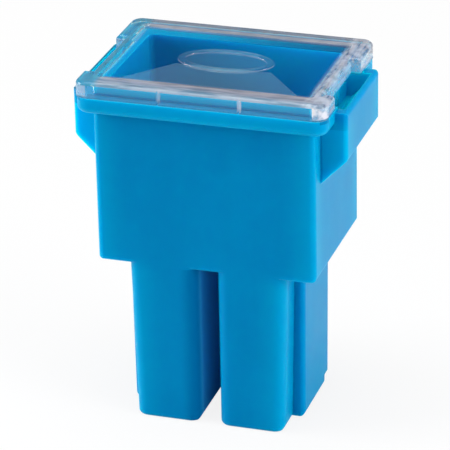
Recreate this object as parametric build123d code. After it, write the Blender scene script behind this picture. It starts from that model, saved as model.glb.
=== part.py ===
from build123d import *
import os

# Female cartridge fuse, in millimetres. X is its width, Y its depth with the front at -Y,
# and Z is up from the ends of its two legs.

# Body and legs
body_width = 17.1
body_depth = 12.0
leg_height = 12.95
slot_width = 1.5
leg_reach_top = 6.2
leg_reach_foot = 5.9
front_wall = 0.95
side_wall = 0.85
edge_round = 0.45
under_round = 0.25
shoulder_round = 0.45
leg_round = 0.9
foot_round_inner = 0.6
foot_round_outer = 0.6
foot_edge_round = 0.3

# Raised rib down the outer side of each leg
rib_reach_top = 6.95
rib_reach_foot = 6.85
rib_width = 6.8
rib_foot = 0.3
rib_round = 0.4
rib_notch_depth = 1.2
rib_notch_height = 0.85

# Collar that carries the cover
collar_width = 19.3
collar_depth = 14.0
collar_foot = 25.15
seat_height = 26.4
collar_corner = 1.1
collar_under_round = 0.5

# Upstand of the body walls inside the cover, set in at the sides where the cover is stepped
rim_top = 27.15
rim_side = 8.3
rim_notch_margin = 0.6

# Ear on each end of the collar, with a pocket in its top
ear_reach = 10.6
ear_width = 9.0
ear_top = 26.25
ear_foot_outer = 22.54
ear_foot_inner = 20.5
ear_round = 0.35
pocket_reach = 10.2
pocket_inner = 8.3
pocket_flat = 0.4
pocket_width = 7.2
pocket_deep = 24.3
pocket_shallow = 25.75

# Chamber under the cover and the well down each leg
chamber_floor = 13.5
well_inner = 1.75
well_outer = 5.0
foot_thickness = 1.0
mouth_lead = 0.4

# Blade that plugs into each leg
blade_pitch = 6.8
blade_thickness = 0.8
blade_width = 8.0
mouth_gap = 0.35

# Clear cover
cover_top = 27.7
cover_gap = 0.03
rim_gap = 0.05
cover_corner = 0.9
cover_edge_round = 0.35
panel_width = 16.7
panel_depth = 11.3
panel_drop = 0.15
slope_depth = 0.12
slope_front_half = 7.2
slope_inner_half = 3.7
slope_front = -5.0
slope_inner = -0.7
side_step = 0.75
step_front = -4.5
step_back = 2.7
tab_thickness = 0.57
tab_width = 1.2
tab_centre = -1.4
tab_foot = 24.9
slit_spacing = 6.2
slit_width = 0.12
slit_depth = 0.6
oval_length = 7.4
oval_depth = 4.2
oval_band = 0.55
oval_round = 0.1

# Fuse element, one stamping that is bent over at the top
plate_thickness = 0.8
plate_width = 6.2
plate_foot = foot_thickness
plate_head = 17.0
shoulder_width = 8.6
shoulder_foot = 13.6
link_thickness = 0.5
link_width = 1.8
link_top = 23.0
link_low = 18.9
link_inner = 1.7
link_bend = 0.9
pad_width = 2.6
pad_length = 2.0

# Tin pellet riveted through the link
pellet_shank = 0.45
pellet_head = 0.8
pellet_head_height = 0.4
pellet_clearance = 0.01

# Spring clip round each blade
clip_sheet = 0.35
clip_foot = foot_thickness
clip_head = 11.0
clip_curl = 1.3
clip_lip = 0.5
clip_flat_half = 3.15
clip_finger_gap = 0.4
clip_fingers = 3

blade_x = blade_pitch / 2
plate_inner = blade_x + blade_thickness / 2
plate_outer = plate_inner + plate_thickness


def pick_corners(face, x, y):
    """The vertices of a flat face at plus and minus x, and at y."""
    return [v for v in face.vertices() if abs(abs(v.X) - x) < 0.01 and abs(v.Y - y) < 0.01]


def block(x_low, x_high, y_low, y_high, z_low, z_high):
    """A box between two corners."""
    size = (x_high - x_low, y_high - y_low, z_high - z_low)
    middle = ((x_low + x_high) / 2, (y_low + y_high) / 2, (z_low + z_high) / 2)
    return Pos(*middle) * Box(*size)


def both_sides(solid):
    """The solid and its mirror image across the middle of the width."""
    return solid + mirror(solid, about=Plane.YZ)


def body_block():
    """Body above the legs, rounded more down its corners than underneath."""
    half = body_width / 2
    solid = block(-half, half, -body_depth / 2, body_depth / 2, leg_height, rim_top)
    solid = fillet(solid.edges().filter_by(Axis.Z), edge_round)
    solid = fillet(solid.faces().sort_by(Axis.Z)[0].edges(), under_round)
    corners = [(-half, leg_height), (half, leg_height), (half, rim_top), (-half, rim_top)]
    outline = make_face(Polyline(*corners, close=True))
    outline = fillet(pick_corners(outline, half, leg_height), shoulder_round)
    return solid & extrude(Plane.XZ * outline, body_depth / 2, both=True)


def leg():
    """Right leg, with rounded corners all the way down and a rounded foot."""
    top = leg_height + 1
    corners = [(slot_width / 2, 0), (leg_reach_foot, 0), (leg_reach_top, top), (slot_width / 2, top)]
    outline = make_face(Polyline(*corners, close=True))
    column = extrude(Plane.XZ * outline, body_depth / 2, both=True)
    uprights = column.edges().filter_by(lambda e: e.length > leg_height)
    column = fillet(uprights, leg_round)
    column = fillet(column.faces().sort_by(Axis.Z)[0].edges(), foot_edge_round)
    foot = fillet(pick_corners(outline, slot_width / 2, 0), foot_round_inner)
    foot = fillet(pick_corners(foot, leg_reach_foot, 0), foot_round_outer)
    return column & extrude(Plane.XZ * foot, body_depth / 2, both=True)


def leg_rib():
    """Rib on the right leg, notched at the back of its foot."""
    outline = make_face(Polyline(
        (leg_reach_foot - 1, rib_foot),
        (rib_reach_foot, rib_foot),
        (rib_reach_top, leg_height + 0.3),
        (leg_reach_foot - 1, leg_height + 0.3),
        close=True,
    ))
    rib = extrude(Plane.XZ * outline, rib_width / 2, both=True)
    outer = rib.faces().sort_by(Axis.X)[-1]
    low = outer.edges().sort_by(Axis.Z)[0]
    sides = outer.edges().filter_by(lambda e: abs(e.center().Y) > rib_width / 2 - 0.01)
    rib = fillet(list(sides) + [low], rib_round)
    back = rib_width / 2
    notch = block(leg_reach_top, 8, back - rib_notch_depth, back + 1, 0, rib_foot + rib_notch_height)
    return rib - notch


def collar():
    """Flange under the cover, rounded underneath."""
    plan = RectangleRounded(collar_width, collar_depth, collar_corner)
    flange = extrude(Pos(0, 0, collar_foot) * plan, seat_height - collar_foot)
    under = flange.faces().sort_by(Axis.Z)[0].edges()
    return fillet(under, collar_under_round)


def ear():
    """Right ear, with a slanted underside."""
    inner = body_width / 2 - 0.5
    slope = (ear_foot_outer - ear_foot_inner) / (ear_reach - body_width / 2)
    outline = make_face(Polyline(
        (inner, ear_foot_inner - 0.5 * slope),
        (ear_reach, ear_foot_outer),
        (ear_reach, ear_top),
        (inner, ear_top),
        close=True,
    ))
    lug = extrude(Plane.XZ * outline, ear_width / 2, both=True)
    rim = lug.faces().sort_by(Axis.X)[-1].edges()
    return fillet(rim, ear_round)


def ear_pocket():
    """Space in the top of the right ear, with a ramp for its floor."""
    outline = make_face(Polyline(
        (pocket_inner, seat_height + 0.5),
        (pocket_inner, pocket_deep),
        (pocket_inner + pocket_flat, pocket_deep),
        (pocket_reach, pocket_shallow),
        (pocket_reach, seat_height + 0.5),
        close=True,
    ))
    return extrude(Plane.XZ * outline, pocket_width / 2, both=True)


def chamber():
    """Open space under the cover."""
    plan = RectangleRounded(body_width - 2 * side_wall, body_depth - 2 * front_wall, edge_round)
    return extrude(Pos(0, 0, chamber_floor) * plan, rim_top - chamber_floor + 1)


def side_notches(inner, margin):
    """Plan of the two places where the cover is stepped in, grown along Y by a margin."""
    middle = (step_front + step_back) / 2
    notch = Pos(inner + 1, middle) * Rectangle(2, step_back - step_front + 2 * margin)
    return notch + mirror(notch, about=Plane.YZ)


def rim_plan(gap):
    """Plan of the upstand, grown by a gap all round."""
    plan = RectangleRounded(body_width + 2 * gap, body_depth + 2 * gap, edge_round + gap)
    return plan - side_notches(rim_side + gap, rim_notch_margin - gap)


def leg_well():
    """Well down the right leg and the mouth for its blade."""
    half_depth = body_depth / 2 - front_wall
    well = block(well_inner, well_outer, -half_depth, half_depth, foot_thickness, chamber_floor + 0.5)
    mouth_x = blade_thickness + 2 * mouth_gap
    mouth_y = blade_width + 2 * mouth_gap
    mouth = Pos(blade_x, 0, foot_thickness / 2) * Box(mouth_x, mouth_y, foot_thickness + 0.2)
    narrow = Pos(blade_x, 0, mouth_lead) * Rectangle(mouth_x, mouth_y)
    wide = Pos(blade_x, 0, 0) * Rectangle(mouth_x + 2 * mouth_lead, mouth_y + 2 * mouth_lead)
    return well + mouth + loft([wide.face(), narrow.face()])


def make_housing():
    """Moulded housing: body, legs, ribs, collar and ears in one piece."""
    solid = body_block() + both_sides(leg()) + both_sides(leg_rib()) + collar() + both_sides(ear())
    notches = extrude(Pos(0, 0, seat_height) * side_notches(rim_side, rim_notch_margin), 1)
    return solid - notches - chamber() - both_sides(leg_well()) - both_sides(ear_pocket())


def cover_hollow(foot):
    """Space under the cover that the upstand fits, with a shallow hipped dish in the front of its roof."""
    roof = rim_top + rim_gap
    space = extrude(Pos(0, 0, foot - 1) * rim_plan(rim_gap), roof - foot + 1)
    outline = make_face(Polyline(
        (-slope_front_half, slope_front),
        (slope_front_half, slope_front),
        (slope_inner_half, slope_inner),
        (-slope_inner_half, slope_inner),
        close=True,
    ))
    return space + extrude(Pos(0, 0, roof - slope_depth) * outline, 2 * slope_depth)


def cover_oval(panel):
    """Low oval bead in the middle of the cover."""
    outer = Ellipse(oval_length / 2, oval_depth / 2)
    inner = Ellipse(oval_length / 2 - oval_band, oval_depth / 2 - oval_band)
    bead = extrude(Pos(0, 0, panel - 0.1) * (outer - inner), panel_drop + 0.1)
    return fillet(bead.faces().sort_by(Axis.Z)[-1].edges(), oval_round)


def cover_tab(foot):
    """Locating tab under the right side of the cover."""
    outer = collar_width / 2 - side_step
    return block(outer - tab_thickness, outer, tab_centre - tab_width / 2,
                 tab_centre + tab_width / 2, tab_foot, foot + 0.2)


def make_cover():
    """Clear cover, with a sunk panel, stepped sides and two locating tabs."""
    foot = seat_height + cover_gap
    plan = RectangleRounded(collar_width, collar_depth, cover_corner)
    plan -= side_notches(collar_width / 2 - side_step, 0)
    solid = extrude(Pos(0, 0, foot) * plan, cover_top - foot)
    solid = fillet(solid.faces().sort_by(Axis.Z)[-1].edges(), cover_edge_round)
    panel = cover_top - panel_drop
    sunk = RectangleRounded(panel_width, panel_depth, cover_corner / 2)
    solid -= extrude(Pos(0, 0, cover_top) * sunk, -panel_drop, taper=45)
    solid -= cover_hollow(foot)
    solid += cover_oval(panel)
    solid += both_sides(cover_tab(foot))
    front = -collar_depth / 2
    slit_x = slit_spacing / 2
    slit = block(slit_x - slit_width / 2, slit_x + slit_width / 2, front - 1,
                 front + slit_depth, foot - 1, panel)
    return solid - both_sides(slit)


def link_strip():
    """The bent strip that joins the two plates and melts on overload."""
    start = (plate_inner + plate_outer) / 2
    right = [(start, plate_head - 0.5), (start, link_top), (link_inner, link_top), (link_inner, link_low)]
    path = FilletPolyline(*right, *[(-x, z) for x, z in reversed(right)], radius=link_bend)
    band = trace(path, link_thickness)
    strip = extrude(Plane.XZ * band, link_width / 2, both=True)
    pad_face = block(-pad_length / 2, pad_length / 2, -pad_width / 2, pad_width / 2,
                     link_low - link_thickness / 2, link_low + link_thickness / 2)
    hole = Pos(0, 0, link_low) * Cylinder(pellet_shank + pellet_clearance, 2)
    return strip + pad_face - hole


def make_element():
    """Two contact plates and the strip between them, in one stamping."""
    half = plate_width / 2
    plate = block(plate_inner, plate_outer, -half, half, plate_foot, plate_head)
    wide = shoulder_width / 2
    shoulder = block(plate_inner, plate_outer, -wide, wide, shoulder_foot, plate_head)
    corners = shoulder.edges().filter_by(Axis.X)
    return both_sides(plate + fillet(corners, 0.5)) + link_strip()


def make_pellet():
    """Tin rivet through the middle of the strip."""
    grip = link_thickness / 2
    head = Cylinder(pellet_head, pellet_head_height)
    head = fillet(head.edges(), 0.12)
    offset = grip + pellet_head_height / 2
    shank = Cylinder(pellet_shank, link_thickness + pellet_head_height)
    return Pos(0, 0, link_low) * (shank + Pos(0, 0, offset) * head + Pos(0, 0, -offset) * head)


def clip_path():
    """Plan line of the right clip: a flat back, two curls and two lips."""
    back = plate_outer + clip_sheet / 2
    front = back - 2 * clip_curl
    side = clip_flat_half
    flat = Line((back, -side), (back, side))
    curve = ThreePointArc((back, side), (back - clip_curl, side + clip_curl), (front, side))
    run = Line((front, side), (front, side - clip_lip))
    bend = clip_lip * 0.7071
    lip_mid = (front + clip_lip - bend, side - clip_lip - bend)
    lip = ThreePointArc((front, side - clip_lip), lip_mid, (front + clip_lip, side - 2 * clip_lip))
    half = [curve, run, lip]
    return [flat] + half + [mirror(edge, about=Plane.XZ) for edge in half]


def make_clip():
    """Right spring clip, with its curls cut into fingers."""
    band = trace(Curve() + clip_path(), clip_sheet)
    solid = extrude(Pos(0, 0, clip_foot) * band, clip_head - clip_foot)
    pitch = (clip_head - clip_foot) / clip_fingers
    for n in range(1, clip_fingers):
        z = clip_foot + n * pitch
        cut = block(0, plate_inner - 0.2, -6, 6, z - clip_finger_gap / 2, z + clip_finger_gap / 2)
        solid -= cut
    return solid


def main():
    """Write each piece to its own file."""
    os.makedirs("parts", exist_ok=True)
    right_clip = make_clip()
    pieces = {
        "housing": make_housing(),
        "clear_cover": make_cover(),
        "fuse_element": make_element(),
        "tin_pellet": make_pellet(),
        "spring_clip_right": right_clip,
        "spring_clip_left": mirror(right_clip, about=Plane.YZ),
    }
    for name, piece in pieces.items():
        export_step(piece, f"parts/{name}.step")


main()
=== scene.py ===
import math
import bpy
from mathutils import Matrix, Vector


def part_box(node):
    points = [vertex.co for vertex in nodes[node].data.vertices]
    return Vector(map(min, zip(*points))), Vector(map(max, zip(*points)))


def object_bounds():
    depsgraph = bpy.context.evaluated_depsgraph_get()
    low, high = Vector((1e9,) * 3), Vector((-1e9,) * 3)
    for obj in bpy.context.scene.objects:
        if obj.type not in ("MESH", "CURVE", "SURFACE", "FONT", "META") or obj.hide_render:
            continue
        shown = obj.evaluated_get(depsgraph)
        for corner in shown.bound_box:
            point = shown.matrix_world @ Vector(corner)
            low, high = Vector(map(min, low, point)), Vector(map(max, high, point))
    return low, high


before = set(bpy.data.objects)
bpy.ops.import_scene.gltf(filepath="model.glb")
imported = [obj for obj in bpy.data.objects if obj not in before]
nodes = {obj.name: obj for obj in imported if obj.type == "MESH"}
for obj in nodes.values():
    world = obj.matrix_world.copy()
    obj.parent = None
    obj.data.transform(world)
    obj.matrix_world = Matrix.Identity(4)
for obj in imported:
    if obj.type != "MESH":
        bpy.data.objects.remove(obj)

from types import SimpleNamespace

import bpy
import numpy as np
from mathutils import Matrix, Vector

millimetre = 0.001
plainWhite = (1.0, 1.0, 1.0, 1.0)


def plainBox(corners):
    return [[float(value) for value in corner] for corner in corners]


cadBox = plainBox(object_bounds())
print("frame loaded", sorted(nodes))


# Shader tools

class Wire:
    # A socket of a node graph. The usual operators add Math nodes.
    def __init__(self, graph, socket):
        self.graph = graph
        self.socket = socket

    def maths(self, operation, first, second=0.0):
        return self.graph.add("ShaderNodeMath", {"operation": operation}, {0: first, 1: second})

    def __add__(self, other):
        return self.maths("ADD", self, other)

    def __radd__(self, other):
        return self.maths("ADD", other, self)

    def __sub__(self, other):
        return self.maths("SUBTRACT", self, other)

    def __rsub__(self, other):
        return self.maths("SUBTRACT", other, self)

    def __mul__(self, other):
        return self.maths("MULTIPLY", self, other)

    def __rmul__(self, other):
        return self.maths("MULTIPLY", other, self)

    def __truediv__(self, other):
        return self.maths("DIVIDE", self, other)

    def __pow__(self, other):
        return self.maths("POWER", self, other)

    def __lt__(self, other):
        return self.maths("LESS_THAN", self, other)

    def __gt__(self, other):
        return self.maths("GREATER_THAN", self, other)

    def __abs__(self):
        return self.maths("ABSOLUTE", self)

    def orElse(self, other):
        return self.maths("MAXIMUM", self, other)

    def andAlso(self, other):
        return self.maths("MINIMUM", self, other)


class Graph:
    def __init__(self, owner):
        owner.use_nodes = True
        self.tree = owner.node_tree
        self.tree.nodes.clear()

    def add(self, kind, settings=None, sockets=None, out=0):
        # One node: its settings first, then the values or links of its sockets.
        made = self.tree.nodes.new(kind)
        for name, value in (settings or {}).items():
            setattr(made, name, value)
        for key, value in (sockets or {}).items():
            if isinstance(value, Wire):
                self.tree.links.new(value.socket, made.inputs[key])
            else:
                made.inputs[key].default_value = value
        return Wire(self, made.outputs[out]) if len(made.outputs) else made

    def placeInMillimetres(self):
        place = self.add("ShaderNodeTexCoord", out="Object")
        scaled = {0: place, "Scale": 1 / millimetre}
        return self.add("ShaderNodeVectorMath", {"operation": "SCALE"}, scaled)

    def axis(self, place, index):
        return self.add("ShaderNodeSeparateXYZ", None, {0: place}, out=index)

    def stretch(self, place, factors):
        return self.add("ShaderNodeMapping", None, {"Vector": place, "Scale": factors})

    def noise(self, place, scale, detail=2.0, roughness=0.5):
        return self.add("ShaderNodeTexNoise", None, {
            "Vector": place, "Scale": scale, "Detail": detail, "Roughness": roughness})

    def fade(self, value, low, high):
        # 0 below low and 1 above high, or the other way round where low is above high.
        ends = {"From Min": low, "From Max": high}
        if low > high:
            ends = {"From Min": high, "From Max": low, "To Min": 1.0, "To Max": 0.0}
        smooth = {"interpolation_type": "SMOOTHSTEP"}
        return self.add("ShaderNodeMapRange", smooth, {"Value": value, **ends})

    def mixColour(self, factor, first, second):
        first, second = (tone if isinstance(tone, Wire) else rgba(tone) for tone in (first, second))
        return self.add("ShaderNodeMix", {"data_type": "RGBA"}, {0: factor, 6: first, 7: second}, out=2)

    def mixShader(self, factor, first, second):
        return self.add("ShaderNodeMixShader", None, {0: factor, 1: first, 2: second})

    def bump(self, height, depth, under=None):
        sockets = {"Height": height, "Distance": depth}
        if under is not None:
            sockets["Normal"] = under
        return self.add("ShaderNodeBump", None, sockets)

    def ray(self, kind):
        # 1 on rays of one kind.
        return self.add("ShaderNodeLightPath", out=f"Is {kind} Ray")

    def finish(self, shader, kind="ShaderNodeOutputMaterial"):
        self.add(kind, None, {"Surface": shader})


def rgba(colour):
    return (*colour, 1.0)


def sway(pattern, spread):
    # The change of a pattern about its middle.
    return (pattern - 0.5) * spread


def patterned(pattern, plain):
    # 1 where the pattern is full, and the plain share where it is empty.
    return plain + (1 - plain) * pattern


def dress(nodeNames, material):
    for name in nodeNames:
        slots = nodes[name].data.materials
        slots.clear()
        slots.append(material)


# Blue moulded plastic. Places are in mm: across and deep from the middle, height from the leg ends.

bluePlastic = {
    "colour": (0.0, 0.24, 0.50),
    "deepColour": (0.0, 0.22, 0.475),
    "toneMix": (0.6, 0.4),                # shares of the clouds and the streaks in the tone
    "toneSpread": (0.35, 0.65),
    "cloudSize": 4.0,
    "streakSize": 1.6,
    "streakPull": (1.0, 1.0, 0.12),       # draws the streaks out upwards
    "speckColour": (0.03, 0.33, 0.66),
    "speckSpacing": 1.3,
    "speckRadius": 0.07,
    "speckChance": 0.14,
    "speckTone": 0.5,
    "speckRise": 0.8,
    "paintedEdgeLightColour": (0.0, 0.32, 0.565),     # painted light where it gathers in corners and thick places
    "edgeReach": 3.2,                     # mm from a corner
    "edgeFall": 1.5,                      # how fast it falls off
    "edgeSoft": 0.7,                      # mm over which its upper end fades
    "edgeLines": (                        # across, deep, foot, head and share
        (8.55, 6.0, 12.9, 25.3, 0.8),
        (6.1, 6.0, 0.0, 12.9, 0.8),
        (10.6, 4.5, 20.0, 25.5, 0.9),
    ),
    "collarPaintedLight": (9.7, 24.9, 25.4, 0.8),  # painted light on the whole collar: reach, where it starts and is full, and its share
    "pocket": (8.2, 10.23, 3.64, 24.2),   # inner and outer side, half depth and floor
    # painted light in the ear pockets
    "pocketPaintedLight": (0.0, 0.49, 0.69),
    "earFace": (8.7, 18.0, 4.0, 4.4),     # front and back faces: across, foot, start and full depth
    "earShare": (0.3, 0.7),               # painted light at the right, and what the left adds
    "earPaintedLight": (0.0, 0.46, 0.80),
    "earRimFoot": 26.0,                   # painted shade on the rim of the left ear
    "earRimShade": (0.0, 0.13, 0.22),
    "chamber": (7.9, 5.3, 13.0),          # half width, half depth and floor
    "chamberShadeAndLight": ((0.0, 0.245, 0.52), (0.0, 0.41, 0.73)),  # painted shade at the left and painted light at the right
    "upstandPaintedLight": (0.0, 0.41, 0.62),   # painted light on the walls that run up inside the cover
    "ledgeFoot": 27.08,                   # their top
    "ledgeShades": ((0.0, 0.26, 0.50), (0.0, 0.10, 0.24)),     # painted shade, faint at the left and deep at the right
    "seat": (26.15, 26.55, 6.0, 6.8),     # painted shade under the cover: foot, head, inner and outer side
    "seatShade": (0.0, 0.17, 0.36),
    "slotLeft": (-2.3, -0.85),            # where the slot's tone starts and where it is full
    "slotRight": (0.95, 0.74),
    "slotTop": 12.9,
    "slotEdge": (4.7, 5.6),
    "slotLightAndShade": ((0.03, 0.42, 0.85), (0.0, 0.11, 0.29)),     # painted light inside, and painted shade on its rounded edges
    "slotShare": 0.95,
    "slotRoughness": 0.7,
    "roughness": 0.36,
    "roughnessGrain": 0.10,
    "roughnessCloud": 0.12,
    "specular": 0.09,
    "specularTint": (0.02, 0.55, 1.0),
    "scatter": 1.0,
    "scatterReach": (0.15, 0.75, 0.9),    # of scatterDepth, for red, green and blue
    "scatterDepth": 1.6 * millimetre,
    "sheen": 0.24,
    "sheenRoughness": 0.35,
    "sheenTint": (0.0, 0.8, 1.0),
    "grainSize": 0.11,
    "grainDepth": 0.0025 * millimetre,
    "swellSize": 3.0,
    "swellDepth": 0.02 * millimetre,
}


def specks(graph, place, look):
    # Round specks in a few of the cells of a grid.
    cell = {"Vector": place, "Scale": 1 / look["speckSpacing"]}
    distance = graph.add("ShaderNodeTexVoronoi", None, cell, out="Distance")
    dice = graph.add("ShaderNodeTexVoronoi", None, cell, out="Color")
    chosen = graph.axis(dice, 0) > 1 - look["speckChance"]
    return graph.fade(distance * look["speckSpacing"], look["speckRadius"], 0.0) * chosen


def paintedEdgeLight(graph, across, deep, height, look):
    # Share of the painted edge light: the whole collar, and near upright lines by their distance in
    # plan.
    reach, foot, head, share = look["collarPaintedLight"]
    glow = graph.fade(height, foot, head) * (across < reach) * share
    soft = look["edgeSoft"]
    for lineX, lineY, foot, head, share in look["edgeLines"]:
        away = ((across - lineX) ** 2.0 + (deep - lineY) ** 2.0) ** 0.5
        near = graph.fade(away, look["edgeReach"], 0.0) ** look["edgeFall"] * share
        glow = glow.orElse(near * (height > foot) * graph.fade(height, head + soft, head - soft))
    return glow


def paintedLightAndShadeByPlace(graph, colour, sideways, across, deep, height, look):
    # The body's tone with painted light laid over its edges, collar, pockets, ear faces, the chamber's
    # right and the upstand, and painted shade over the chamber's left, the ledge, the left ear's rim
    # and the seat.
    # Painted light at the edges and on the collar
    glow = paintedEdgeLight(graph, across, deep, height, look)
    colour = graph.mixColour(glow, colour, look["paintedEdgeLightColour"])

    # Painted light in the ear pockets
    innerX, outerX, pocketY, pocketFloor = look["pocket"]
    pocket = (across > innerX).andAlso(across < outerX).andAlso(deep < pocketY)
    colour = graph.mixColour(pocket.andAlso(height > pocketFloor), colour, look["pocketPaintedLight"])

    # Painted light on the ear faces, more on the left ear
    earX, earFoot, earInner, earOuter = look["earFace"]
    rightShare, leftShare = look["earShare"]
    ear = graph.fade(deep, earInner, earOuter) * (across > earX) * (height > earFoot)
    ear = ear * (rightShare + graph.fade(sideways, earX, -earX) * leftShare)
    collarFoot = look["collarPaintedLight"][1]
    colour = graph.mixColour(ear * (height < collarFoot), colour, look["earPaintedLight"])

    # Painted shade at the chamber's left and painted light at its right
    roomX, roomY, roomFloor = look["chamber"]
    chamber = (across < roomX).andAlso(deep < roomY).andAlso(height > roomFloor)
    rightward = graph.fade(sideways, -roomX, roomX)
    colour = graph.mixColour(chamber, colour, graph.mixColour(rightward, *look["chamberShadeAndLight"]))

    seatFoot, seatHead, seatInner, seatOuter = look["seat"]
    # Painted light on the walls that run up inside the cover
    upstand = (height > seatHead) * (1 - chamber)
    colour = graph.mixColour(upstand, colour, look["upstandPaintedLight"])
    # Painted shade on the top of those walls, deepest at the right
    ledge = graph.mixColour(rightward, *look["ledgeShades"])
    colour = graph.mixColour(height > look["ledgeFoot"], colour, ledge)

    # Painted shade on the rim of the left ear
    earRim = (across > outerX).andAlso(height > look["earRimFoot"]) * (1 - rightward)
    colour = graph.mixColour(earRim, colour, look["earRimShade"])
    # Painted shade under the cover
    seat = (height > seatFoot).andAlso(height < seatHead)
    seat = seat.andAlso(deep > seatInner).andAlso(deep < seatOuter)
    return graph.mixColour(seat, colour, look["seatShade"])


def makeBluePlastic(look):
    material = bpy.data.materials.new("bluePlastic")
    graph = Graph(material)
    place = graph.placeInMillimetres()
    sideways, height = (graph.axis(place, index) for index in (0, 2))
    across, deep = (abs(graph.axis(place, index)) for index in (0, 1))

    cloud = graph.noise(place, 1 / look["cloudSize"], 3.0)
    streak = graph.noise(graph.stretch(place, look["streakPull"]), 1 / look["streakSize"], 4.0, 0.6)
    cloudShare, streakShare = look["toneMix"]
    tone = graph.fade(cloud * cloudShare + streak * streakShare, *look["toneSpread"])
    colour = graph.mixColour(tone, look["deepColour"], look["colour"])
    speck = specks(graph, place, look)
    colour = graph.mixColour(speck * look["speckTone"], colour, look["speckColour"])
    colour = paintedLightAndShadeByPlace(graph, colour, sideways, across, deep, height, look)

    grain = graph.noise(place, 1 / look["grainSize"], 2.0, 0.6)
    swell = graph.noise(place, 1 / look["swellSize"], 1.0)
    unevenness = sway(grain, look["roughnessGrain"]) + sway(cloud, look["roughnessCloud"])
    soft = graph.bump(swell, look["swellDepth"])
    normal = graph.bump(grain + speck * look["speckRise"], look["grainDepth"], under=soft)
    moulded = graph.add("ShaderNodeBsdfPrincipled", {"subsurface_method": "RANDOM_WALK"}, {
        "Base Color": colour,
        "Roughness": look["roughness"] + unevenness,
        "Normal": normal,
        "Specular IOR Level": look["specular"],
        "Specular Tint": rgba(look["specularTint"]),
        "Subsurface Weight": look["scatter"],
        "Subsurface Radius": look["scatterReach"],
        "Subsurface Scale": look["scatterDepth"],
        "Sheen Weight": look["sheen"],
        "Sheen Roughness": look["sheenRoughness"],
        "Sheen Tint": rgba(look["sheenTint"]),
    })

    # The slot between the legs, without the gloss and the scatter, with painted light inside and
    # painted shade on its rounded edges
    paintedSlot = graph.add("ShaderNodeBsdfPrincipled", None, {
        "Base Color": graph.mixColour(graph.fade(deep, *look["slotEdge"]), *look["slotLightAndShade"]),
        "Roughness": look["slotRoughness"],
        "Normal": normal,
        "Specular IOR Level": 0.0,
    })
    slot = graph.fade(sideways, *look["slotLeft"]) * graph.fade(sideways, *look["slotRight"])
    slot = slot * (height < look["slotTop"]) * look["slotShare"]
    graph.finish(graph.mixShader(slot, moulded, paintedSlot))
    return material


# Clear cover plastic. Its haze is painted reflection on the rim, streaked with flow lines. A band is
# where its haze starts, where it is full, and its share.

clearPlastic = {
    "index": 1.5,
    "throughColour": (0.95, 0.97, 0.98),
    "panelInset": (1.45, 1.15),           # mm in, where the gloss of the edge starts and is full
    "panelGloss": 0.08,                   # share of the full reflection on the flat panel
    "edgeGloss": 0.9,                     # the same on the rim and the walls
    "glossRoughness": 0.10,
    "glassColour": (0.88, 0.87, 0.90),
    "glassRoughness": 0.056,
    "glassSpread": 0.06,
    "skirt": (1.0, 1.32, 2.05),           # mm of solid plastic at the front, sides and back
    "upstand": (8.5, 6.0),                # half width and half depth of the walls inside the cover
    "topSlope": 0.3,                      # least rise of a face that counts as the top
    "underSlope": -0.5,
    "waveSize": 2.5,
    "waveDepth": 0.012 * millimetre,
    "fineScale": 3.0,
    "fineShare": 0.1,
    "hazeAndReflectionColour": (0.47, 0.43, 0.45),
    "hazeAndReflectionDark": (0.16, 0.17, 0.21),
    "paintedHighlightColour": (0.80, 0.75, 0.78),
    "hazeRoughness": 0.4,
    "hazeSpread": 0.2,
    "lineSize": 0.30,                     # mm between the flow lines in the rim
    "lineBreak": 0.32,                    # how often they change along the edge, in 1/mm
    "lineRise": 1.5,                      # and up the walls
    "lineSpread": (0.33, 0.67),
    "patchScale": 1.3,
    "patchSpread": (0.36, 0.62),
    "frontBand": (2.1, 1.7, 0.62),
    "backBand": (2.0, 1.5, 0.36),
    "sideBand": (2.0, 1.4, 0.60),
    "sidePlain": 0.55,                    # share of that band between its flow lines
    "leftShadeColour": (0.01, 0.26, 0.38),     # painted shade in the haze along the left side
    "leftShare": 0.85,
    "rightShare": 0.75,                   # of the painted highlight, in patches along the right side
    "backLine": (0.42, 0.18, 0.75),       # dark line along the outline
    "footLine": (26.62, 26.48, 0.55),     # dark line along the foot of the walls
    "footPlain": 0.4,
    "footLeast": 0.1,
    "lineColour": (0.02, 0.16, 0.25),
    # painted highlight on the cover's walls: a least share, more at their top, and along the side walls
    "wallHighlight": 0.004,
    "wallTop": (27.35, 27.6, 0.2),
    "sideWall": (0.3, 0.42),              # mm in from the front and back, and its share
    "sideWallPlain": 0.25,
    "corner": (8.65, 6.1, 0.80),          # painted highlight outside the upstand in both directions
    "cornerPlain": 0.35,
    "cornerFaint": 0.4,                   # of that share at the left ones
    "slit": (3.1, 0.085, 6.3, 0.42),      # painted highlight in the slits: place, half width, where it starts and its share
    "slitFaint": 0.35,                    # of that share at the left one
    "slope": (0.7, 3.7, 0.81, 0.10),      # painted light under the hollow's slopes: its back line, half width there, its growth, and share
    "slopePaintedLight": (0.46, 0.86, 1.0),
    "oval": (3.7, 2.1, 0.55),             # half length, half depth and band
    "ovalLine": 0.11,
    "ovalRim": (1.05, 0.95),
    "ovalEnds": 0.3,                      # of the half length, from where its lines fade
    "ovalHighlight": 0.26,
    "ovalPlain": 0.4,
    "ovalFill": 0.055,
}


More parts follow.
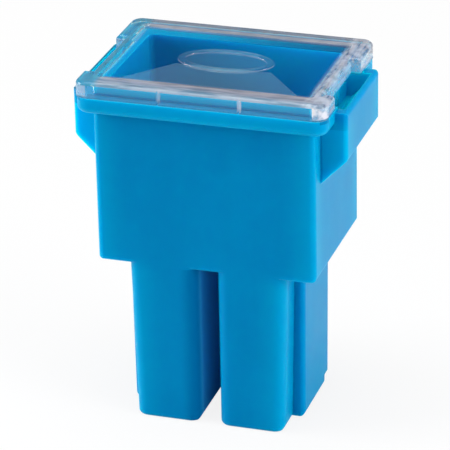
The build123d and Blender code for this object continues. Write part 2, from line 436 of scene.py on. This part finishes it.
def coverSpots(graph, place, look):
    # Distances and faces of the cover that its finishes share.
    spot = SimpleNamespace()
    reach, depth = (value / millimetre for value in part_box("clear_cover")[1][:2])
    spot.across, spot.deep = (abs(graph.axis(place, index)) for index in (0, 1))
    spot.forward = -1 * graph.axis(place, 1)
    spot.height = graph.axis(place, 2)
    spot.sideInset = reach - spot.across
    spot.endInset = depth - spot.deep
    spot.inset = spot.sideInset.andAlso(spot.endInset)
    spot.rightward = graph.fade(graph.axis(place, 0), -reach, reach)

    # The normal is turned towards each ray, and is turned back on faces met from behind.
    spot.behind = graph.add("ShaderNodeNewGeometry", out="Backfacing")
    normal = graph.add("ShaderNodeNewGeometry", out="True Normal")
    upward = graph.axis(normal, 2) * (1 - 2 * spot.behind)
    spot.underside = upward < look["underSlope"]
    spot.topside = upward > look["topSlope"]
    spot.wall = (1 - spot.topside) * (1 - spot.underside)
    spot.outerWall = spot.wall * (1 - spot.behind)
    return spot


def clearBody(graph, spot, through, fine, normal, look):
    # A straight view through the thin panel with a shine on it, and solid plastic in the skirt.
    shine = graph.add("ShaderNodeBsdfPrincipled", None, {
        "Base Color": plainWhite,
        "Metallic": 1.0,
        "Roughness": look["glossRoughness"],
        "Normal": normal,
    })
    fresnel = graph.add("ShaderNodeFresnel", None, {"IOR": look["index"]})
    edge = graph.fade(spot.inset, *look["panelInset"]).orElse(spot.wall)
    gloss = look["panelGloss"] + edge * (look["edgeGloss"] - look["panelGloss"])
    flat = graph.mixShader(fresnel * (1 - spot.behind) * gloss, through, shine)

    glass = graph.add("ShaderNodeBsdfPrincipled", None, {
        "Base Color": rgba(look["glassColour"]),
        "Roughness": look["glassRoughness"] + sway(fine, look["glassSpread"]),
        "Normal": normal,
        "IOR": look["index"],
        "Transmission Weight": 1.0,
    })
    frontSkirt, sideSkirt, backSkirt = look["skirt"]
    back = (spot.endInset < backSkirt) * (spot.forward < 0)
    solid = (spot.endInset < frontSkirt).orElse(spot.sideInset < sideSkirt).orElse(back)
    upstandX, upstandY = look["upstand"]
    frontWall = spot.wall.andAlso(spot.forward > upstandY).andAlso(spot.across < upstandX)
    return graph.mixShader(solid * (1 - spot.underside) * (1 - frontWall), flat, glass)


def bandShare(graph, inset, band):
    start, full, share = band
    return graph.fade(inset, start, full) * share


def ovalMarks(graph, across, deep, look):
    # Painted highlights along the two edges of the oval bead, strongest in front of and behind its
    # middle, and the area inside it. A point's radius is 1 on an edge.
    length, depth, band = look["oval"]
    outer, inner = (((across / (length - inset)) ** 2.0 + (deep / (depth - inset)) ** 2.0) ** 0.5
                    for inset in (0.0, band))
    first, second = (graph.fade(abs(radius - 1.0), look["ovalLine"], 0.0) for radius in (outer, inner))
    lines = first.orElse(second) * graph.fade(across, length, look["ovalEnds"] * length)
    return lines * look["ovalHighlight"], graph.fade(outer, *look["ovalRim"])


def paintedHighlights(graph, spot, patch, look):
    # Share of the painted highlights at the corners, the slits and the oval bead, and of the faint area
    # inside the oval.
    cornerX, cornerY, share = look["corner"]
    corner = (spot.across > cornerX).andAlso(spot.deep > cornerY) * share * spot.outerWall
    corner = corner * patterned(patch, look["cornerPlain"])
    corner = corner * spot.rightward.orElse(look["cornerFaint"])
    slitX, reach, start, share = look["slit"]
    slit = (abs(spot.across - slitX) < reach).andAlso(spot.forward > start) * share
    slit = slit * spot.rightward.orElse(look["slitFaint"])
    oval, fill = ovalMarks(graph, spot.across, spot.deep, look)
    oval = oval * spot.topside * patterned(patch, look["ovalPlain"])
    bright = corner.orElse(slit).orElse(oval) * (1 - spot.underside)
    return bright, fill * spot.topside * look["ovalFill"]


def hazeAndPaintedLight(graph, place, spot, look):
    # Share and colour of the haze and painted reflection. Flow lines follow the edges of the rim.
    along = graph.add("ShaderNodeCombineXYZ", None, {
        0: spot.inset / look["lineSize"],
        1: (spot.across + spot.deep) * look["lineBreak"],
        2: spot.height * look["lineRise"],
    })
    flow = graph.fade(graph.noise(along, 1.0, 2.0, 0.6), *look["lineSpread"])
    patch = graph.fade(graph.noise(place, look["patchScale"], 3.0, 0.6), *look["patchSpread"])

    frontBand = bandShare(graph, spot.endInset, look["frontBand"]) * (spot.forward > 0)
    backBand = bandShare(graph, spot.endInset, look["backBand"]) * (spot.forward < 0)
    sideBand = bandShare(graph, spot.sideInset, look["sideBand"]) * patterned(flow, look["sidePlain"])
    bands = frontBand.orElse(backBand).orElse(sideBand) * spot.topside
    backLine = bandShare(graph, spot.endInset, look["backLine"]) * (spot.forward < 0)
    footLine = bandShare(graph, spot.height, look["footLine"]) * spot.outerWall
    footLine = footLine * patterned(flow, look["footPlain"])
    wallInset, wallShare = look["sideWall"]
    sideWall = (spot.endInset > wallInset) * (spot.sideInset < look["skirt"][1])
    sideWall = sideWall * patterned(flow, look["sideWallPlain"]) * wallShare
    walls = look["wallHighlight"] + bandShare(graph, spot.height, look["wallTop"]) + sideWall
    start, width, growth, slopeShare = look["slope"]
    spread = width + (spot.forward - start) * growth
    slope = (spot.forward > start).andAlso(spot.across < spread) * spot.underside * slopeShare
    slope = slope * (spot.inset > look["frontBand"][1])
    bright, fill = paintedHighlights(graph, spot, patch, look)
    share = bands.orElse(walls * spot.outerWall).orElse(bright)
    share = share.orElse(backLine * (1 - spot.underside)).orElse(slope).orElse(fill).orElse(footLine)

    # Painted shade along the left side, and painted highlight in patches along the right side
    side = graph.fade(spot.sideInset, look["sideBand"][0], look["sideBand"][1])
    leftSide = side * (1 - spot.rightward) * look["leftShare"]
    rightSide = side * spot.rightward * patch * look["rightShare"]
    colour = graph.mixColour(flow, look["hazeAndReflectionDark"], look["hazeAndReflectionColour"])
    colour = graph.mixColour(leftSide, colour, look["leftShadeColour"])
    colour = graph.mixColour(rightSide, colour, look["paintedHighlightColour"])
    # Painted highlight on the walls, the corners, the slits and the oval bead
    colour = graph.mixColour((bright > bands).orElse(spot.wall), colour, look["paintedHighlightColour"])
    lines = backLine.orElse(footLine > look["footLeast"])
    colour = graph.mixColour(lines, colour, look["lineColour"])
    # Painted light under the hollow's slopes and inside the oval
    colour = graph.mixColour(spot.underside.orElse(fill > bands), colour, look["slopePaintedLight"])
    return share, colour


def makeClearPlastic(look):
    material = bpy.data.materials.new("clearPlastic")
    graph = Graph(material)
    place = graph.placeInMillimetres()
    spot = coverSpots(graph, place, look)
    wave = graph.noise(place, 1 / look["waveSize"], 2.0)
    fine = graph.noise(place, look["fineScale"], 3.0, 0.6)
    normal = graph.bump(wave + fine * look["fineShare"], look["waveDepth"])
    through = graph.add("ShaderNodeBsdfTransparent", None, {"Color": rgba(look["throughColour"])})
    clear = clearBody(graph, spot, through, fine, normal, look)
    share, colour = hazeAndPaintedLight(graph, place, spot, look)
    rimHazeAndReflection = graph.add("ShaderNodeBsdfPrincipled", None, {
        "Base Color": colour,
        "Roughness": look["hazeRoughness"] + sway(fine, look["hazeSpread"]),
        "Normal": normal,
    })
    clearWithPaintedRim = graph.mixShader(share, clear, rimHazeAndReflection)

    # Light passes straight, so the chamber is lit through the cover
    light = graph.ray("Shadow").orElse(graph.ray("Diffuse"))
    graph.finish(graph.mixShader(light, clearWithPaintedRim, through))
    return material


# Metals

metals = {
    "tinnedAlloy": {"colour": (0.62, 0.62, 0.60), "dull": (0.42, 0.41, 0.39), "roughness": 0.32,
                    "pull": (1.0, 1.0, 0.08), "lineSize": 0.12, "depth": 0.004 * millimetre},
    "castTin": {"colour": (0.66, 0.66, 0.65), "dull": (0.45, 0.45, 0.45), "roughness": 0.42,
                "pull": (1.0, 1.0, 1.0), "lineSize": 0.25, "depth": 0.012 * millimetre},
    "springSteel": {"colour": (0.55, 0.55, 0.56), "dull": (0.38, 0.38, 0.39), "roughness": 0.26,
                    "pull": (1.0, 0.08, 1.0), "lineSize": 0.09, "depth": 0.003 * millimetre},
}

metalWear = {
    "stainScale": 0.7,
    "stainSpread": (0.45, 0.75),
    "lineRoughness": 0.25,
    "stainRoughness": 0.2,
}


def makeMetal(name, look, wear):
    material = bpy.data.materials.new(name)
    graph = Graph(material)
    place = graph.placeInMillimetres()
    lines = graph.noise(graph.stretch(place, look["pull"]), 1 / look["lineSize"], 3.0, 0.6)
    stain = graph.noise(place, wear["stainScale"], 4.0, 0.6)
    unevenness = sway(lines, wear["lineRoughness"]) + sway(stain, wear["stainRoughness"])
    dulled = graph.fade(stain, *wear["stainSpread"])
    graph.finish(graph.add("ShaderNodeBsdfPrincipled", None, {
        "Base Color": graph.mixColour(dulled, look["colour"], look["dull"]),
        "Roughness": look["roughness"] + unevenness,
        "Metallic": 1.0,
        "Normal": graph.bump(lines, look["depth"]),
    }))
    return material


dress(["housing"], makeBluePlastic(bluePlastic))
dress(["clear_cover"], makeClearPlastic(clearPlastic))
dress(["fuse_element"], makeMetal("tinnedAlloy", metals["tinnedAlloy"], metalWear))
dress(["tin_pellet"], makeMetal("castTin", metals["castTin"], metalWear))
springSteel = makeMetal("springSteel", metals["springSteel"], metalWear)
dress(["spring_clip_left", "spring_clip_right"], springSteel)
print("materials made")


# Floor, world and lights

studio = {
    "floorReach": 1.5,            # m
    "floorColour": (0.78, 0.78, 0.78),
    "floorGlow": 0.86,            # share of plain white that the camera sees on the floor
    "floorFade": (80.0, 600.0),   # mm from the part, over which that grows to plain white
    "floorGlossGlow": 0.04,       # the same near the part, seen in reflections
    "skyStrength": 0.24,
}


def makeFloor(look):
    # A square at the height of the leg ends.
    corners = np.array([(-1, -1, 0), (1, -1, 0), (1, 1, 0), (-1, 1, 0)], float) * look["floorReach"]
    mesh = bpy.data.meshes.new("floor")
    mesh.from_pydata(corners.tolist(), [], [(0, 1, 2, 3)])
    floor = bpy.data.objects.new("floor", mesh)
    bpy.context.scene.collection.objects.link(floor)
    material = bpy.data.materials.new("paleFloor")
    graph = Graph(material)
    place = graph.placeInMillimetres()
    away = (graph.axis(place, 0) ** 2.0 + graph.axis(place, 1) ** 2.0) ** 0.5
    glow = graph.fade(away, *look["floorFade"]).orElse(look["floorGlow"])
    seen = graph.ray("Camera").orElse(graph.ray("Transmission")) * glow
    seen = seen.orElse(graph.ray("Glossy") * look["floorGlossGlow"])
    card = graph.add("ShaderNodeBsdfDiffuse", None, {"Color": rgba(look["floorColour"])})
    white = graph.add("ShaderNodeEmission", None, {"Color": plainWhite, "Strength": 1.0})
    graph.finish(graph.mixShader(seen, card, white))
    mesh.materials.append(material)


def makeSky(look):
    # Soft light all round, seen as plain white.
    world = bpy.data.worlds.new("studioSky")
    bpy.context.scene.world = world
    graph = Graph(world)
    soft, white = (graph.add("ShaderNodeBackground", None, {"Color": plainWhite, "Strength": strength})
                   for strength in (look["skyStrength"], 1.0))
    seen = graph.ray("Camera").orElse(graph.ray("Transmission"))
    graph.finish(graph.mixShader(seen, soft, white), "ShaderNodeOutputWorld")


lamps = {
    "overhead": {"place": (-0.02, -0.02, 0.50), "size": 0.35, "power": 1.5},
    "left": {"place": (-0.45, -0.12, 0.16), "size": 0.30, "power": 2.2},
    "right": {"place": (0.45, -0.12, 0.16), "size": 0.30, "power": 1.9},
}


def makeLamp(name, look):
    # A round lamp aimed at the middle of the part.
    data = bpy.data.lights.new(name, "AREA")
    data.shape = "DISK"
    data.size = look["size"]
    data.energy = look["power"]
    lamp = bpy.data.objects.new(name, data)
    bpy.context.scene.collection.objects.link(lamp)
    place = Vector(look["place"])
    middle = Vector((0, 0, cadBox[1][2] / 2))
    turn = (middle - place).to_track_quat("-Z", "Y")
    lamp.matrix_world = Matrix.Translation(place) @ turn.to_matrix().to_4x4()


makeFloor(studio)
makeSky(studio)
for lampName, lampLook in lamps.items():
    makeLamp(lampName, lampLook)
print("studio lit")


# Camera

cameraLook = {
    "azimuth": 18.063,                    # degrees round to the right of the front
    "elevation": 24.684,
    "roll": -1.192,
    "distance": 229.244 * millimetre,
    "aim": (0.0, 0.0, 13.75 * millimetre),
    "slide": (0.3443 * millimetre, -0.3646 * millimetre),   # right and up, in the picture's plane
    "lens": 240.0,
    "sensor": 36.0,
    "clip": (0.01, 10.0),
}


def makeCamera(look):
    azimuth, elevation, roll = (math.radians(look[key]) for key in ("azimuth", "elevation", "roll"))
    back = Vector((math.sin(azimuth) * math.cos(elevation),
                   -math.cos(azimuth) * math.cos(elevation), math.sin(elevation)))
    level = Vector((0, 0, 1)).cross(back).normalized()
    upright = back.cross(level)
    right = math.cos(roll) * level + math.sin(roll) * upright
    up = math.cos(roll) * upright - math.sin(roll) * level
    slideRight, slideUp = look["slide"]
    place = Vector(look["aim"]) - slideRight * right - slideUp * up + look["distance"] * back
    turn = Matrix((right, up, back)).transposed()
    data = bpy.data.cameras.new("camera")
    data.sensor_width = look["sensor"]
    data.lens = look["lens"]
    data.clip_start, data.clip_end = look["clip"]
    camera = bpy.data.objects.new("camera", data)
    bpy.context.scene.collection.objects.link(camera)
    camera.matrix_world = Matrix.Translation(place) @ turn.to_4x4()
    bpy.context.scene.camera = camera


makeCamera(cameraLook)
bpy.context.scene.view_settings.view_transform = "Standard"
print("camera set")
